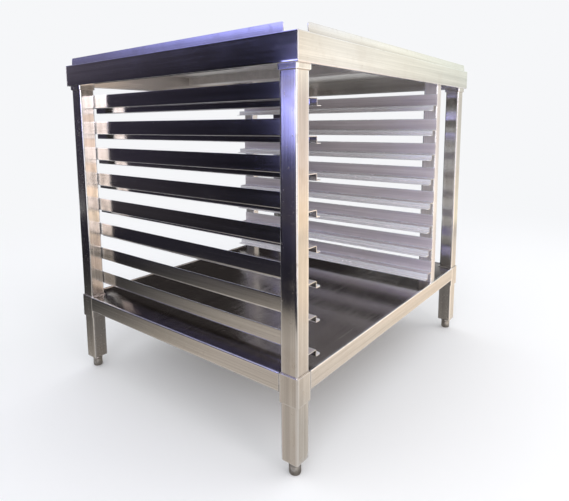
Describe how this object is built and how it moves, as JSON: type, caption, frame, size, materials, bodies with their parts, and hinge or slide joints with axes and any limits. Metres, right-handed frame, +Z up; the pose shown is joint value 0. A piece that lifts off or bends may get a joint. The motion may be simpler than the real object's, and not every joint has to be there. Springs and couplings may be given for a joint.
{
  "type": "sheet pan rack",
  "caption": "Stainless steel oven stand with stepped tray slides between square posts, a flat deck with low upstands, a bottom shelf and screw-adjusted feet.",
  "frame": {"origin": "middle of the footprint at floor level, between the four feet", "axes": "+X to the right and +Y to the rear as seen from the open front, +Z up"},
  "size_m": [0.942, 0.768, 0.873],
  "materials": {
    "deck_steel": "fine brushed",
    "skirt_steel": "fine brushed, bright",
    "post_steel": "brushed along the tube",
    "frame_steel": "brushed along the fold",
    "slide_steel": "fine brushed, semi-bright",
    "shelf_steel": "brushed, lightly marked by use",
    "insert_steel": "dull machined",
    "foot_steel": "turned, dull"
  },
  "bodies": {
    "frame": {"top_deck": "deck_steel", "skirt_front": "skirt_steel", "skirt_rear": "skirt_steel", "skirt_left": "skirt_steel", "skirt_right": "skirt_steel", "upstand_front": "skirt_steel", "upstand_rear": "skirt_steel", "upstand_left": "skirt_steel", "upstand_right": "skirt_steel", "top_sleeve_front_left": "frame_steel", "top_sleeve_front_right": "frame_steel", "top_sleeve_rear_left": "frame_steel", "top_sleeve_rear_right": "frame_steel", "deck_channel": "frame_steel", "post_front_left": "post_steel", "post_front_right": "post_steel", "post_rear_left": "post_steel", "post_rear_right": "post_steel", "shelf_panel": "shelf_steel", "apron_front": "frame_steel", "apron_rear": "frame_steel", "apron_left": "frame_steel", "apron_right": "frame_steel", "shelf_sleeve_front_left": "frame_steel", "shelf_sleeve_front_right": "frame_steel", "shelf_sleeve_rear_left": "frame_steel", "shelf_sleeve_rear_right": "frame_steel", "shelf_channel": "frame_steel", "upright_front": "post_steel", "upright_rear": "post_steel", "slide_left_1": "slide_steel", "slide_left_2": "slide_steel", "slide_left_3": "slide_steel", "slide_left_4": "slide_steel", "slide_left_5": "slide_steel", "slide_left_6": "slide_steel", "slide_left_7": "slide_steel", "slide_left_8": "slide_steel", "slide_right_1": "slide_steel", "slide_right_2": "slide_steel", "slide_right_3": "slide_steel", "slide_right_4": "slide_steel", "slide_right_5": "slide_steel", "slide_right_6": "slide_steel", "slide_right_7": "slide_steel", "slide_right_8": "slide_steel", "foot_insert_front_left": "insert_steel", "foot_insert_front_right": "insert_steel", "foot_insert_rear_left": "insert_steel", "foot_insert_rear_right": "insert_steel"},
    "foot_front_left": {"foot_front_left": "foot_steel"},
    "foot_front_right": {"foot_front_right": "foot_steel"},
    "foot_rear_left": {"foot_rear_left": "foot_steel"},
    "foot_rear_right": {"foot_rear_right": "foot_steel"}
  },
  "joints": [
    {"name": "foot_front_left_screw", "type": "slide", "parent": "frame", "child": "foot_front_left", "axis": [0, 0, 1], "range_m": [-0.02, 0.004]},
    {"name": "foot_front_right_screw", "type": "slide", "parent": "frame", "child": "foot_front_right", "axis": [0, 0, 1], "range_m": [-0.02, 0.004]},
    {"name": "foot_rear_left_screw", "type": "slide", "parent": "frame", "child": "foot_rear_left", "axis": [0, 0, 1], "range_m": [-0.02, 0.004]},
    {"name": "foot_rear_right_screw", "type": "slide", "parent": "frame", "child": "foot_rear_right", "axis": [0, 0, 1], "range_m": [-0.02, 0.004]}
  ]
}
